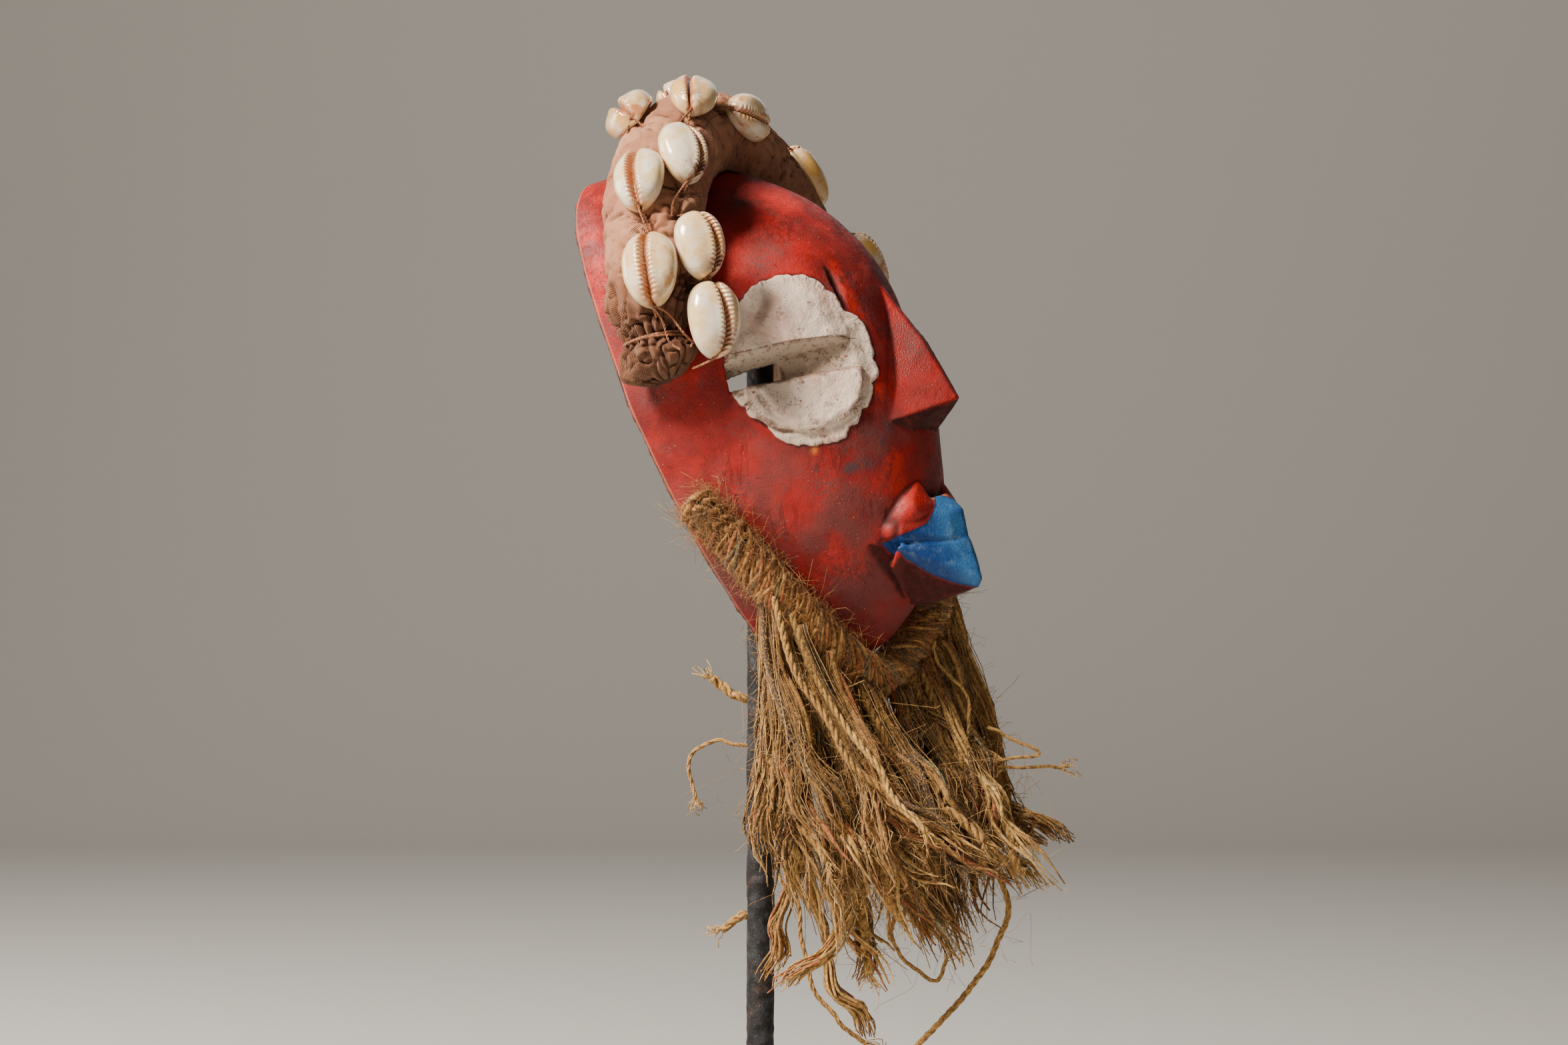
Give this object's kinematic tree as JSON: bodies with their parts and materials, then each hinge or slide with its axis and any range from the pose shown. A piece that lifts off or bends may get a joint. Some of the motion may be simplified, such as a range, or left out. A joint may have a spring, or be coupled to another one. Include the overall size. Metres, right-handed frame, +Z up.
{
  "type": "cowrie shell mask",
  "caption": "Small hollow carved face painted red with a cowrie-sewn cloth roll over the head and a jute beard, on an iron rod with a square foot.",
  "frame": {"origin": "the middle of the underside of the square foot, on the axis of the rod", "axes": "+Z up along the rod, -Y the way the face looks, +X the side of the mask's left ear"},
  "size_m": [0.1527, 0.1622, 0.3736],
  "materials": {
    "mask": "worn red paint on carved wood",
    "cloth": "plain woven cotton, dusty tan",
    "shell": "glossy cowrie shell with ochre stains",
    "rope": "jute rope",
    "fringe": "loose jute yarn",
    "iron": "rough blackened iron with rust"
  },
  "bodies": {
    "root": {"mask": "mask", "headband_roll": "cloth", "cowrie_01": "shell", "cowrie_02": "shell", "cowrie_03": "shell", "cowrie_04": "shell", "cowrie_05": "shell", "cowrie_06": "shell", "cowrie_07": "shell", "cowrie_08": "shell", "cowrie_09": "shell", "cowrie_10": "shell", "cowrie_11": "shell", "cowrie_12": "shell", "cowrie_13": "shell", "cowrie_14": "shell", "beard_rope": "rope", "beard_fringe": "fringe", "stand_rod": "iron", "stand_base": "iron"}
  },
  "joints": []
}
